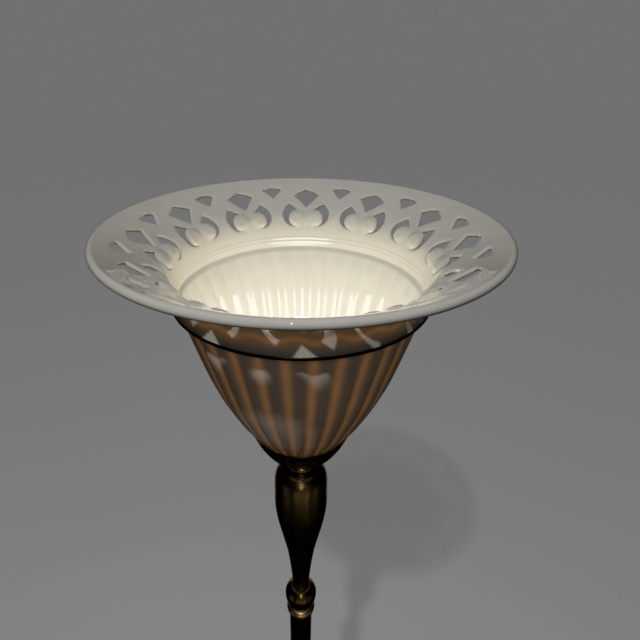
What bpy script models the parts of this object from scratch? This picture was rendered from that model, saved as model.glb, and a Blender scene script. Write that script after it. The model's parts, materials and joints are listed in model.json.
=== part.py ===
"""Torchiere floor lamp: a pierced porcelain bowl on a turned brass column with a weighted base.

Every size is in millimetres and becomes metres when a mesh is made. The lamp stands on z = 0 and
its axis is Z. Heights on the column and the base count from the floor. Heights with "below the
rim" in their comment count from the crest of the shade's rim, and are negative.
"""

import math

import bmesh
import bpy
from mathutils import Matrix, Vector
from mathutils.geometry import delaunay_2d_cdt, interpolate_bezier

MM = 0.001
GAP = 0.3  # clearance between touching pieces

# Driving dimensions.
RIM_HEIGHT = 1750.0  # crest of the rim above the floor
LIP_RADIUS = 174.1  # middle of the rounded edge
LIP_TUBE = 3.7
UNITS = 12  # pierced motifs round the flare
FLARE_WALL = 4.2
BOWL_WALL = 4.6
SHADE_STEPS = 48
COLUMN_STEPS = 20
SOCKET_STEPS = 20
THROAT = (114.5, -61.0)  # below the rim
CUP_RIM = (55.6, -224.6)
CUP_RIM_INSIDE = 54.7
CUP_WALL = 2.4
CUP_FOOT = -289.6
TUBE_RADIUS = 15.9  # a 1 1/4 inch tube
TUBE_WALL = 1.5
ROD_RADIUS = 5.1  # a 1/8 inch pipe
ROD_BORE = 3.4
HOLE_RADIUS = 5.7  # what the rod passes through
BASE_RADIUS = 146.0
COVER_WALL = 1.8
BULB_TOP = -98.0
BULB_RADIUS = 30.0
KNOB_HEIGHT = -219.0  # axis of the switch, below the rim
FRONT = (0.0, -1.0, 0.0)

# Inner face of the flare from the throat to the lip: radius, height below the rim.
FLARE = (
    THROAT,
    (114.8, -53.2),
    (116.2, -43.3),
    (120.5, -33.8),
    (128.5, -26.2),
    (138.0, -20.2),
    (148.0, -14.3),
    (156.0, -9.4),
    (163.0, -5.4),
    (169.5, -2.0),
)

# Outer face of the bowl under the neck band, down to the hole for the rod.
BOWL = (
    (113.1, -68.2),
    (108.8, -88.0),
    (103.0, -109.8),
    (89.5, -154.8),
    (69.0, -200.0),
    (55.6, -222.4),
    (39.9, -245.5),
    (21.0, -263.4),
)
BOWL_FOOT = -264.5

# Openings of one motif: distance from its middle along the flare's face, distance up from the throat.
LOBE_CENTRE = (10.0, 31.2)
LOBE_RADII = (9.3, 10.7)
CRESCENT_PEAK = (20.1, 51.6)
CRESCENT_OUTER = ((24.6, 44.5), (26.1, 36.5), (23.6, 27.6), (18.2, 22.2))
DIAMOND = ((0.0, 45.5), (14.3, 64.2), (8.0, 69.2), (0.0, 72.4))
FAN = ((0.0, 60.5), (11.5, 73.3), (0.0, 76.5))


def clear_scene():
    for found in list(bpy.data.objects):
        bpy.data.objects.remove(found, do_unlink=True)


def make_material(name, color, roughness, metallic):
    material = bpy.data.materials.new(name)
    material.use_nodes = True
    shader = material.node_tree.nodes["Principled BSDF"]
    shader.inputs["Base Color"].default_value = (*color, 1.0)
    shader.inputs["Roughness"].default_value = roughness
    shader.inputs["Metallic"].default_value = metallic
    return material


def make_materials():
    return {
        "porcelain": make_material("porcelain", (0.86, 0.82, 0.72), 0.18, 0.0),
        "gilt": make_material("gilt", (0.62, 0.44, 0.16), 0.22, 1.0),
        "antique": make_material("antique_brass", (0.20, 0.14, 0.06), 0.28, 1.0),
        "polished": make_material("polished_brass", (0.83, 0.62, 0.28), 0.14, 1.0),
        "raw_brass": make_material("raw_brass", (0.66, 0.52, 0.27), 0.35, 1.0),
        "iron": make_material("cast_iron", (0.07, 0.07, 0.075), 0.7, 0.6),
        "steel": make_material("zinc_steel", (0.55, 0.56, 0.58), 0.35, 1.0),
        "rubber": make_material("rubber", (0.03, 0.03, 0.03), 0.8, 0.0),
        "phenolic": make_material("phenolic", (0.05, 0.035, 0.03), 0.4, 0.0),
        "card": make_material("card", (0.52, 0.42, 0.28), 0.9, 0.0),
        "bulb": make_material("bulb_glass", (0.95, 0.93, 0.88), 0.3, 0.0),
        "bulb_metal": make_material("bulb_metal", (0.75, 0.75, 0.76), 0.25, 1.0),
        "felt": make_material("felt", (0.06, 0.11, 0.07), 0.95, 0.0),
    }


def add_object(name, bm, material):
    """The finished mesh, in millimetres until now, as a smooth-shaded object."""
    bmesh.ops.scale(bm, verts=bm.verts, vec=(MM, MM, MM))
    bmesh.ops.recalc_face_normals(bm, faces=bm.faces)
    mesh = bpy.data.meshes.new(name)
    bm.to_mesh(mesh)
    bm.free()
    mesh.shade_smooth()
    mesh.set_sharp_from_angle(angle=math.radians(40.0))
    mesh.materials.append(material)
    made = bpy.data.objects.new(name, mesh)
    bpy.context.scene.collection.objects.link(made)
    return made


def spun(outline, steps):
    """A bmesh turned about Z from a closed outline of (radius, height)."""
    bm = bmesh.new()
    corners = [bm.verts.new((radius, 0.0, height)) for radius, height in outline]
    edges = []
    for first, second in zip(corners, corners[1:] + corners[:1]):
        if first.co.x > 0.0 or second.co.x > 0.0:
            edges.append(bm.edges.new((first, second)))
    bmesh.ops.spin(
        bm,
        geom=corners + edges,
        cent=(0.0, 0.0, 0.0),
        axis=(0.0, 0.0, 1.0),
        dvec=(0.0, 0.0, 0.0),
        angle=math.tau,
        steps=steps,
        use_merge=True,
        use_duplicate=False,
    )
    bmesh.ops.remove_doubles(bm, verts=bm.verts, dist=1e-4)
    return bm


def turned(name, outline, steps, material, height=0.0):
    """A turned piece whose outline counts its heights from the given height."""
    made = add_object(name, spun(outline, steps), material)
    made.location.z = height * MM
    return made


def washer(name, outer, low, high, material):
    outline = ((HOLE_RADIUS, low), (outer, low), (outer, high), (HOLE_RADIUS, high))
    return turned(name, outline, 16, material, RIM_HEIGHT)


def hex_nut(name, across_flats, low, high, material):
    """A nut: a ring of 24 steps whose outer points are moved out to a hexagon."""
    half = across_flats / 2.0
    bm = spun(((HOLE_RADIUS, low), (half, low), (half, high), (HOLE_RADIUS, high)), 24)
    for vert in bm.verts:
        if vert.co.xy.length > (half + HOLE_RADIUS) / 2.0:
            turn = math.atan2(vert.co.y, vert.co.x) % (math.pi / 3.0)
            vert.co.xy *= 1.0 / math.cos(turn - math.pi / 6.0)
    return add_object(name, bm, material)


def offset_inward(outline, wall):
    """The outline moved towards the axis by the wall, along the normal at each point."""
    moved = []
    for index, (radius, height) in enumerate(outline):
        before = outline[max(index - 1, 0)]
        after = outline[min(index + 1, len(outline) - 1)]
        run = Vector((after[0] - before[0], after[1] - before[1])).normalized()
        moved.append((radius + run.y * wall, height - run.x * wall))
    return moved


def smooth_line(points, per_span):
    """Points on a Catmull-Rom curve through the given ones."""
    line = []
    for index in range(len(points) - 1):
        start = Vector(points[index])
        end = Vector(points[index + 1])
        before = Vector(points[max(index - 1, 0)])
        after = Vector(points[min(index + 2, len(points) - 1)])
        leave = start + (end - before) / 6.0
        arrive = end - (after - start) / 6.0
        line += interpolate_bezier(start, leave, arrive, end, per_span + 1)[:-1]
    line.append(Vector(points[-1]))
    return line


# The shade.


class Flare:
    """The flare's curved face, laid out flat: degrees round the axis, and distance up its face."""

    def __init__(self):
        self.line = smooth_line(FLARE, 8)
        self.along = [0.0]
        for before, after in zip(self.line, self.line[1:]):
            self.along.append(self.along[-1] + (after - before).length)
        self.length = self.along[-1]

    def section(self, distance):
        """The point and the tangent of the inner face at this distance from the throat."""
        index = 1
        while index < len(self.along) - 1 and self.along[index] < distance:
            index += 1
        start, end = self.line[index - 1], self.line[index]
        share = (distance - self.along[index - 1]) / (self.along[index] - self.along[index - 1])
        return start.lerp(end, share), (end - start).normalized()

    def place(self, degrees, distance, depth):
        """A point of the flare, this deep behind its inner face."""
        point, tangent = self.section(distance)
        radius = point.x + tangent.y * depth
        height = point.y - tangent.x * depth
        angle = math.radians(degrees)
        return Vector((radius * math.sin(angle), radius * math.cos(angle), height))

    def degrees(self, sideways, distance):
        return math.degrees(sideways / self.section(distance)[0].x)


def crescent():
    """The opening round one lobe: an arc round the lobe, then the outer side back to the peak."""
    outline = []
    for step in range(7):
        angle = math.radians(92.0 - step * 170.0 / 6.0)
        across = LOBE_CENTRE[0] + LOBE_RADII[0] * math.cos(angle)
        outline.append((across, LOBE_CENTRE[1] + LOBE_RADII[1] * math.sin(angle)))
    outline += reversed(CRESCENT_OUTER)
    outline.append(CRESCENT_PEAK)
    return outline


def half_motif(flare):
    """Flat triangles of half a motif, 0 to 15 degrees, and the edges of its openings."""
    half = 180.0 / UNITS
    middle = half / 2.0
    across = 2.4  # millimetres of face per degree, near enough for well-shaped triangles
    diamond = [(flare.degrees(side, up), up) for side, up in DIAMOND]
    fan = [(half - flare.degrees(side, up), up) for side, up in FAN]
    hole = [(flare.degrees(side, up), up) for side, up in crescent()]
    border = [(0.0, 0.0), (middle, 0.0), (half, 0.0), (half, 20.0), (half, 40.0)] + fan
    border += [(half, flare.length), (middle, flare.length), (0.0, flare.length)]
    border += diamond[::-1] + [(0.0, 33.0), (0.0, 16.0)]
    spare = [(middle, 10.0), (3.5, 22.0), (12.5, 30.0), (12.2, 48.0), (9.0, 60.0)]
    points = border + hole + spare
    flat = [Vector((degrees * across, up)) for degrees, up in points]
    rims = []
    for start, count in ((0, len(border)), (len(border), len(hole))):
        rims += [(start + i, start + (i + 1) % count) for i in range(count)]
    made, _, faces, _, _, _ = delaunay_2d_cdt(flat, rims, [], 0, 1e-5)
    placed = [(corner.x / across, corner.y) for corner in made]
    kept = [face for face in faces if inside(placed, face, border) and not inside(placed, face, hole)]
    return placed, kept


def inside(placed, face, outline):
    """Whether the middle of this face is inside the outline."""
    x = sum(placed[i][0] for i in face) / len(face)
    y = sum(placed[i][1] for i in face) / len(face)
    crossings = 0
    for (x0, y0), (x1, y1) in zip(outline, outline[1:] + outline[:1]):
        if (y0 > y) != (y1 > y) and x < x0 + (y - y0) * (x1 - x0) / (y1 - y0):
            crossings += 1
    return crossings % 2 == 1


def add_flare(bm, flare):
    """The pierced sheet: its two faces, and a wall along every edge that borders an opening."""
    placed, faces = half_motif(flare)
    half = 180.0 / UNITS
    sides = {}
    for face in faces:
        for first, second in zip(face, face[1:] + face[:1]):
            key = frozenset((first, second))
            sides.setdefault(key, []).append((first, second))
    borders = [pair[0] for pair in sides.values() if len(pair) == 1]
    for motif in range(UNITS):
        for mirror in (1.0, -1.0):
            layers = []
            for depth in (0.0, FLARE_WALL):
                turn = motif * 360.0 / UNITS
                layers.append([bm.verts.new(flare.place(turn + mirror * a, s, depth)) for a, s in placed])
            for face in faces:
                for layer in layers:
                    bm.faces.new([layer[i] for i in face])
            for first, second in borders:
                if not on_outer_edge(placed[first], placed[second], half, flare.length):
                    inner, outer = layers
                    bm.faces.new((inner[first], inner[second], outer[second], outer[first]))


def on_outer_edge(first, second, half, length):
    """Whether an edge lies along the border that the next motif, the lip or the bowl continues."""
    same_side = abs(first[0] - second[0]) < 1e-4 and min(abs(first[0]), abs(first[0] - half)) < 1e-4
    same_end = abs(first[1] - second[1]) < 1e-4 and min(first[1], abs(first[1] - length)) < 1e-4
    return same_side or same_end


def add_rings(bm, outline):
    """A band turned about Z from an open outline, with its first ring on the +Y side."""
    rings = []
    for radius, height in outline:
        ring = []
        for step in range(SHADE_STEPS):
            angle = math.tau * step / SHADE_STEPS
            ring.append(bm.verts.new((radius * math.sin(angle), radius * math.cos(angle), height)))
        rings.append(ring)
    for upper, lower in zip(rings, rings[1:]):
        for step in range(SHADE_STEPS):
            after = (step + 1) % SHADE_STEPS
            bm.faces.new((upper[step], upper[after], lower[after], lower[step]))


def lip_outline(flare):
    """From the flare's inner face over the rounded edge to its outer face."""
    inner = flare.place(0.0, flare.length, 0.0)
    outer = flare.place(0.0, flare.length, FLARE_WALL)
    outline = [(inner.y, inner.z)]
    for degrees in (118.0, 90.0, 45.0, 0.0, -45.0, -90.0):
        angle = math.radians(degrees)
        radius = LIP_RADIUS + LIP_TUBE * math.cos(angle)
        outline.append((radius, LIP_TUBE * (math.sin(angle) - 1.0)))
    outline.append((outer.y, outer.z))
    return outline


def bowl_outline(flare):
    """From the throat's outer face past the neck band and the hole to the throat's inner face."""
    outer = flare.place(0.0, 0.0, FLARE_WALL)
    outline = [(outer.y, outer.z), (118.8, -61.9), (118.8, -65.6)]
    outline += BOWL
    outline += [(HOLE_RADIUS, BOWL_FOOT), (HOLE_RADIUS, BOWL_FOOT + BOWL_WALL)]
    outline += offset_inward(BOWL, BOWL_WALL)[::-1]
    outline += [(110.6, -65.6), (113.4, -63.4), THROAT]
    return outline


def make_shade(materials):
    flare = Flare()
    bm = bmesh.new()
    add_flare(bm, flare)
    add_rings(bm, lip_outline(flare))
    add_rings(bm, bowl_outline(flare))
    bmesh.ops.remove_doubles(bm, verts=bm.verts, dist=1e-3)
    shade = add_object("porcelain_shade", bm, materials["porcelain"])
    shade.location.z = RIM_HEIGHT * MM
    band = ((119.2, -65.2), (120.3, -65.2), (120.3, -62.4), (119.2, -62.4))
    turned("neck_band", band, SHADE_STEPS, materials["gilt"], RIM_HEIGHT)


# What holds the shade.


def make_shade_seat(materials):
    """The cup, and the stack of washers that clamps the porcelain's foot to the rod."""
    radius, rim = CUP_RIM
    outside = [(radius, rim), (54.6, -229.0), (51.9, -236.0), (48.4, -243.2), (44.6, -250.2)]
    outside += [(40.6, -256.6), (34.0, -263.3), (26.5, -269.5), (20.0, -274.0), (16.8, -277.4)]
    outside += [(16.0, -280.0), (18.0, -283.2), (18.2, -286.2), (16.8, -288.8), (15.2, CUP_FOOT)]
    hollow = offset_inward(outside[:9], CUP_WALL)[2::2][::-1] + [(CUP_RIM_INSIDE, rim)]
    floor = CUP_FOOT + 6.0
    outline = outside + [(HOLE_RADIUS, CUP_FOOT), (HOLE_RADIUS, floor), (10.5, floor)] + hollow
    turned("shade_cup", outline, 28, materials["antique"], RIM_HEIGHT)
    washer("seat_spacer", 9.0, floor + GAP, -268.4, materials["raw_brass"])
    washer("seat_washer", 17.0, -268.1, -266.8, materials["steel"])
    washer("lower_rubber_washer", 18.5, -266.5, -264.8, materials["rubber"])
    washer("upper_rubber_washer", 16.0, -259.6, -257.6, materials["rubber"])
    washer("clamp_washer", 14.0, -257.3, -256.0, materials["steel"])
    nut = hex_nut("shade_locknut", 17.0, -255.7, -251.2, materials["steel"])
    nut.location.z = RIM_HEIGHT * MM


# The socket and its switch.


def bored(obj, name, radius, low, high, place, axis):
    """Cuts a straight round hole from low to high along the axis through the place."""
    bm = bmesh.new()
    bmesh.ops.create_cone(
        bm, cap_ends=True, segments=16, radius1=radius * MM, radius2=radius * MM, depth=(high - low) * MM
    )
    mesh = bpy.data.meshes.new(name)
    bm.to_mesh(mesh)
    bm.free()
    cutter = bpy.data.objects.new(name, mesh)
    bpy.context.scene.collection.objects.link(cutter)
    along = Vector(axis)
    middle = Vector(place) + along * (low + high) / 2.0
    turn = Vector((0.0, 0.0, 1.0)).rotation_difference(along).to_matrix().to_4x4()
    cutter.matrix_world = Matrix.Translation(middle * MM) @ turn
    cutter.hide_render = True
    cutter.display_type = "WIRE"
    cut = obj.modifiers.new(name, "BOOLEAN")
    cut.operation = "DIFFERENCE"
    cut.solver = "EXACT"
    cut.object = cutter


def make_socket(materials):
    shaft_place = (0.0, 0.0, RIM_HEIGHT + KNOB_HEIGHT)
    cap = ((HOLE_RADIUS, -249.6), (8.4, -249.6), (8.4, -242.5), (13.2, -240.0), (17.0, -234.5))
    cap += ((17.7, -229.0), (17.7, -225.8), (16.7, -225.8), (16.7, -228.8), (15.6, -234.0))
    cap += ((12.4, -238.3), (HOLE_RADIUS, -240.8))
    turned("socket_cap", cap, SOCKET_STEPS, materials["raw_brass"], RIM_HEIGHT)
    shell = ((15.5, -228.4), (16.3, -228.4), (16.3, -178.0), (17.2, -174.5), (16.4, -174.5), (15.5, -178.0))
    liner = ((14.6, -229.5), (15.2, -229.5), (15.2, -177.0), (14.6, -177.0))
    body = ((0.0, -228.0), (14.2, -228.0), (14.2, -210.0), (0.0, -210.0))
    shell_made = turned("socket_shell", shell, SOCKET_STEPS, materials["raw_brass"], RIM_HEIGHT)
    liner_made = turned("socket_liner", liner, SOCKET_STEPS, materials["card"], RIM_HEIGHT)
    body_made = turned("socket_body", body, SOCKET_STEPS, materials["phenolic"], RIM_HEIGHT)
    bored(shell_made, "shell_shaft_hole", 3.0, 10.0, 20.0, shaft_place, FRONT)
    bored(liner_made, "liner_shaft_hole", 3.0, 10.0, 20.0, shaft_place, FRONT)
    bored(body_made, "body_shaft_hole", 2.6, 4.0, 20.0, shaft_place, FRONT)
    screw = ((7.0, -208.4), (14.2, -208.4), (14.2, -184.0), (13.5, -184.0), (13.5, -207.6), (7.0, -207.6))
    turned("screw_shell", screw, SOCKET_STEPS, materials["raw_brass"], RIM_HEIGHT)
    leaf = ((0.0, -209.7), (5.0, -209.7), (5.0, -208.6), (0.0, -208.6))
    turned("centre_contact", leaf, 16, materials["raw_brass"], RIM_HEIGHT)
    for name, side in (("terminal_screw_hot", 1.0), ("terminal_screw_neutral", -1.0)):
        place = (side * 8.6, 0.0, RIM_HEIGHT)
        bored(body_made, name + "_hole", 1.7, -230.0, -220.0, place, (0.0, 0.0, 1.0))
        screw = ((0.0, -221.5), (1.3, -221.5), (1.3, -228.4), (3.2, -228.4), (3.2, -230.4), (0.0, -230.4))
        made = turned(name, screw[::-1], 16, materials["raw_brass"])
        made.location = Vector(place) * MM


def make_switch(materials):
    """The switch turns about Y, so its pieces hang on an empty whose Z points to the front."""
    axle = bpy.data.objects.new("switch_axis", None)
    bpy.context.scene.collection.objects.link(axle)
    axle.location.z = (RIM_HEIGHT + KNOB_HEIGHT) * MM
    axle.rotation_euler = (math.radians(90.0), 0.0, 0.0)
    shaft = ((0.0, 4.6), (2.2, 4.6), (2.2, 33.0), (0.0, 33.0))
    turned("switch_shaft", shaft, 16, materials["raw_brass"]).parent = axle
    knob = ((2.5, 21.0), (4.6, 21.0), (6.2, 23.0), (6.8, 26.0), (6.2, 36.0), (5.0, 37.5), (0.0, 38.0))
    knob += ((0.0, 33.3), (2.5, 33.3))
    bm = spun(knob, 24)
    for vert in bm.verts:
        grip = round(math.degrees(math.atan2(vert.co.y, vert.co.x)) / 15.0) % 2
        if grip and vert.co.xy.length > 5.5:
            vert.co.xy *= 0.87
    add_object("switch_knob", bm, materials["phenolic"]).parent = axle


def make_bulb(materials):
    """The bulb's pieces hang on an empty at the middle of its screw base."""
    seat = bpy.data.objects.new("bulb_axis", None)
    bpy.context.scene.collection.objects.link(seat)
    seat.location.z = RIM_HEIGHT * MM
    glass = []
    for step in range(8):
        angle = math.radians(90.0 - step * 18.0)
        height = BULB_TOP - BULB_RADIUS + BULB_RADIUS * math.sin(angle)
        glass.append((BULB_RADIUS * math.cos(angle), height))
    glass += [(22.0, -151.0), (16.8, -163.0), (13.6, -173.0), (12.0, -180.0), (11.6, -185.0)]
    shell = glass[::-1] + [(max(radius - 1.0, 0.0), height - 1.0) for radius, height in glass[:-2]]
    shell += [(11.0, -180.0), (10.6, -185.0)]
    base = ((12.1, -183.0), (12.4, -180.6), (13.1, -180.6), (13.1, -203.0), (8.6, -205.2))
    base += ((8.6, -204.2), (12.1, -202.2))
    insulator = ((5.0, -206.6), (8.2, -206.0), (8.2, -202.6), (5.0, -202.6))
    tip = ((0.0, -208.1), (3.6, -207.8), (4.6, -206.9), (4.6, -203.0), (0.0, -203.0))
    turned("bulb_glass", shell, 20, materials["bulb"]).parent = seat
    turned("bulb_base", base, SOCKET_STEPS, materials["bulb_metal"]).parent = seat
    turned("bulb_insulator", insulator, 16, materials["phenolic"]).parent = seat
    turned("bulb_contact", tip, 16, materials["bulb_metal"]).parent = seat


# The column, from the vase under the cup down to the base.

VASE = (
    (15.4, -289.9),
    (21.0, -291.6),
    (26.4, -295.8),
    (30.0, -302.8),
    (31.7, -313.0),
    (32.2, -330.0),
    (31.9, -350.0),
    (30.9, -365.0),
    (28.1, -385.0),
    (23.1, -412.0),
    (18.1, -440.0),
    (14.7, -469.0),
    (12.1, -499.0),
    (11.0, -516.0),
    (11.4, -522.0),
)
COLUMN_KNOB = (
    (11.6, -522.3),
    (14.6, -523.4),
    (18.8, -528.0),
    (21.2, -534.0),
    (21.6, -540.5),
    (21.0, -547.5),
    (19.6, -553.5),
    (17.0, -558.5),
    (14.4, -561.2),
    (13.6, -563.4),
)
RING_TOP = -563.7  # the polished ring under the knob, below the rim
RING_DEEP = 14.8
RING_RADIUS = 19.8
TUBE_TOP = RIM_HEIGHT + RING_TOP - RING_DEEP - GAP
COUPLING_MIDDLE = 672.0
BASE_VASE_TOP = 196.0
BASE_TOP = 80.0


def ring_outline(radius, deep, bore, top_proud=2.2, foot_proud=2.2):
    """A rounded ring, from its top face down, this proud of its top face and of its foot."""
    outline = [(bore, 0.0)]
    for step in range(7):
        angle = math.radians(90.0 - step * 30.0)
        proud = top_proud if step < 3 else foot_proud
        bulge = radius - proud + proud * math.cos(angle)
        outline.append((bulge, deep / 2.0 * (math.sin(angle) - 1.0)))
    return outline + [(bore, -deep)]


def make_column(materials):
    antique = materials["antique"]
    polished = materials["polished"]
    vase = list(VASE) + [(HOLE_RADIUS, -522.0), (HOLE_RADIUS, -516.0)]
    vase += offset_inward(VASE[1:-2:2], 2.4)[::-1] + [(HOLE_RADIUS, -293.2)]
    vase += [(HOLE_RADIUS, -289.9)]
    turned("column_vase", vase, COLUMN_STEPS, antique, RIM_HEIGHT)
    knob = list(COLUMN_KNOB) + [(HOLE_RADIUS, -563.4), (HOLE_RADIUS, -522.3)]
    turned("column_knob", knob, COLUMN_STEPS, antique, RIM_HEIGHT)
    ring = ring_outline(RING_RADIUS, RING_DEEP, HOLE_RADIUS, 6.2, 3.5)
    turned("column_ring", ring, COLUMN_STEPS, polished, RIM_HEIGHT + RING_TOP)
    coupling = ((15.2, 19.0), (17.5, 15.0), (21.5, 7.5), (22.6, 0.0), (21.5, -7.5), (17.5, -15.0))
    coupling += ((15.2, -19.0), (HOLE_RADIUS, -19.0), (HOLE_RADIUS, 19.0))
    turned("mid_coupling", coupling, COLUMN_STEPS, antique, COUPLING_MIDDLE)
    deep = 9.0
    plain_ring = ring_outline(18.0, deep, HOLE_RADIUS)
    turned("mid_ring_upper", plain_ring, COLUMN_STEPS, polished, COUPLING_MIDDLE + 28.3)
    turned("mid_ring_lower", plain_ring, COLUMN_STEPS, polished, COUPLING_MIDDLE - 19.3)
    foot_ring = ring_outline(18.4, deep, HOLE_RADIUS)
    turned("base_ring", foot_ring, COLUMN_STEPS, polished, BASE_VASE_TOP + deep + GAP)
    tubes = (
        ("upper_tube", COUPLING_MIDDLE + 28.6, TUBE_TOP),
        ("lower_tube", BASE_VASE_TOP + deep + 2.0 * GAP, COUPLING_MIDDLE - 28.6),
    )
    for name, low, high in tubes:
        inner = TUBE_RADIUS - TUBE_WALL
        outline = ((inner, low), (TUBE_RADIUS, low), (TUBE_RADIUS, high), (inner, high))
        turned(name, outline, COLUMN_STEPS, antique)


BASE_VASE = (
    (17.0, 116.0),
    (18.6, 108.0),
    (17.0, 101.0),
    (14.4, 94.0),
    (15.4, 84.0),
    (19.6, 70.0),
    (25.6, 52.0),
    (30.6, 36.0),
    (32.0, 25.0),
    (30.0, 14.0),
    (25.0, 7.0),
    (24.0, 0.0),
)
BASE_COVER = (
    (26.0, 79.7),
    (31.0, 77.4),
    (42.0, 70.5),
    (62.0, 58.6),
    (69.8, 56.4),
    (69.8, 52.0),
    (88.0, 39.0),
    (108.0, 31.6),
    (132.0, 27.0),
    (137.0, 23.0),
    (143.6, 21.2),
    (BASE_RADIUS, 17.5),
    (BASE_RADIUS, 3.2),
)
BASE_COVER_INSIDE = (
    (BASE_RADIUS - COVER_WALL, 3.2),
    (BASE_RADIUS - COVER_WALL, 17.0),
    (142.4, 19.6),
    (136.2, 21.2),
    (131.0, 25.2),
    (107.2, 29.8),
    (86.8, 37.4),
    (67.6, 51.0),
    (67.6, 54.9),
    (61.2, 56.9),
    (41.0, 68.8),
    (30.0, 75.6),
    (HOLE_RADIUS, 77.6),
    (HOLE_RADIUS, 79.7),
)


def make_base(materials):
    vase = list(BASE_VASE) + offset_inward(BASE_VASE, 2.4)[::-2]
    turned("base_vase", vase, COLUMN_STEPS, materials["antique"], BASE_TOP)
    outline = BASE_COVER + BASE_COVER_INSIDE
    cover = turned("base_cover", outline, 40, materials["antique"])
    bored(cover, "bushing_hole", 4.6, 130.0, 160.0, (0.0, 0.0, 11.0), (0.0, 1.0, 0.0))
    weight = ((HOLE_RADIUS, 17.5), (20.0, 17.5), (20.0, 3.6), (128.0, 3.6), (128.0, 15.0))
    weight += ((108.0, 22.0), (86.0, 27.0), (40.0, 32.0), (HOLE_RADIUS, 32.0))
    turned("base_weight", weight, 32, materials["iron"])
    felt = ((0.0, 0.0), (BASE_RADIUS - 3.0, 0.0), (BASE_RADIUS - 3.0, 2.9), (0.0, 2.9))
    turned("felt_pad", felt, 36, materials["felt"])
    plate = ((HOLE_RADIUS, 15.6), (15.0, 15.6), (15.0, 17.2), (HOLE_RADIUS, 17.2))
    turned("base_washer", plate, 16, materials["steel"])
    hex_nut("base_nut", 19.0, 8.6, 15.3, materials["steel"])
    rod_top = RIM_HEIGHT - 243.0
    rod = ((ROD_BORE, 5.6), (ROD_RADIUS, 5.6), (ROD_RADIUS, rod_top), (ROD_BORE, rod_top))
    turned("centre_rod", rod, 16, materials["steel"])
    make_bushing(materials)


def make_bushing(materials):
    """The cord's way in, through the skirt at the back: a flanged sleeve with an open bore."""
    mount = bpy.data.objects.new("bushing_axis", None)
    bpy.context.scene.collection.objects.link(mount)
    mount.location = (0.0, 0.0, 11.0 * MM)
    mount.rotation_euler = (math.radians(-90.0), 0.0, 0.0)
    wall_in = BASE_RADIUS - COVER_WALL
    sleeve = ((2.6, 139.0), (5.4, 139.5), (5.4, wall_in - 1.6), (4.2, wall_in - 1.2))
    sleeve += ((4.2, BASE_RADIUS + 0.4), (6.0, BASE_RADIUS + 0.4), (5.6, BASE_RADIUS + 2.4))
    sleeve += ((3.4, BASE_RADIUS + 3.4), (2.6, BASE_RADIUS + 3.0))
    turned("cord_bushing", sleeve, 16, materials["phenolic"]).parent = mount


def main():
    clear_scene()
    materials = make_materials()
    make_shade(materials)
    make_shade_seat(materials)
    make_socket(materials)
    make_switch(materials)
    make_bulb(materials)
    make_column(materials)
    make_base(materials)


main()
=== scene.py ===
"""Torchiere floor lamp, lit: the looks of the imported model, with its camera, floor and lights.

Lengths are in metres, and those of the shade's ornament are in millimetres until a mesh is made.
Round the shade, degrees count from the +Y side towards +X.
"""

import json
import math

import bmesh
import bpy
from mathutils import Matrix, Vector, kdtree
from mathutils.geometry import delaunay_2d_cdt, interpolate_bezier

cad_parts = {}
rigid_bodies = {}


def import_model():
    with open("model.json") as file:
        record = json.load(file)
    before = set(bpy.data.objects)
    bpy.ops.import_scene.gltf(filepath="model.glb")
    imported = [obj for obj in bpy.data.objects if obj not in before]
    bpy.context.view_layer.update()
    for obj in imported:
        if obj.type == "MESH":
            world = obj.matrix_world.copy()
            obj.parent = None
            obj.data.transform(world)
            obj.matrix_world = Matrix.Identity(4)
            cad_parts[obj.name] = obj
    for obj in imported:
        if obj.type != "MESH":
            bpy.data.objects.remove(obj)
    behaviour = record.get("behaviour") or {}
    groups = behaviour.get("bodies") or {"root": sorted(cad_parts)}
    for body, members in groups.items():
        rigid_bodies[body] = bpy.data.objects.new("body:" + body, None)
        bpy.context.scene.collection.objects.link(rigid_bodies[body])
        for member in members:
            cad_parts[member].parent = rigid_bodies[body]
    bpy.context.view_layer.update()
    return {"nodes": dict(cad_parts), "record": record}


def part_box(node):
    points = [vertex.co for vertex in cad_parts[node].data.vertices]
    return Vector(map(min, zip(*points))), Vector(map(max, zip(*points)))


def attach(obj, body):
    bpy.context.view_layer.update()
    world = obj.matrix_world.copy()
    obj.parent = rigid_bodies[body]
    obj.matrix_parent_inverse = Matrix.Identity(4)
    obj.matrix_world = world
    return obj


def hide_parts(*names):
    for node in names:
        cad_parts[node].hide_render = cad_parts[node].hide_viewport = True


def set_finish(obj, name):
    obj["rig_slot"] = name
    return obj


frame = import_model()

MM = 0.001
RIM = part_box("porcelain_shade")[1].z
RIM_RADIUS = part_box("porcelain_shade")[1].x

# The camera and the lights turn together round the lamp: degrees from -Y towards +X.
# The camera's reach and rise are counted in rim radii, from the axis and from the rim.
HEADING = 2.3
CAMERA_TILT = 29.03
CAMERA_ROLL = 0.1
CAMERA_REACH = 2.308
CAMERA_RISE = 0.7324
CAMERA_LENS = 27.0
CAMERA_SHIFT = 0.0292

# Brightness: the bulb's and the floor's own light, the room's, and the main lamp's power.
BULB_LIGHT = 9.2
FLOOR_LIGHT = 0.15
WORLD_LIGHT = 0.03
KEY_WATTS = 41.0

# The exposure curve: how bright each light is shown, up to the light that is shown as white.
TOP_LIGHT = 4.0
SHOULDER = ((0.15, 0.15), (0.3, 0.3), (0.6, 0.5), (1.0, 0.68), (1.4, 0.81), (1.8, 0.92), (2.3, 0.985))

# Colours of light.
WHITE = (1.0, 1.0, 1.0)
COOL = (0.96, 0.97, 1.0)
WARM = (1.0, 0.96, 0.9)
GOLD = (1.0, 0.86, 0.58)
PALE_GOLD = (1.0, 0.9, 0.75)
YELLOW = (1.0, 0.92, 0.5)

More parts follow.
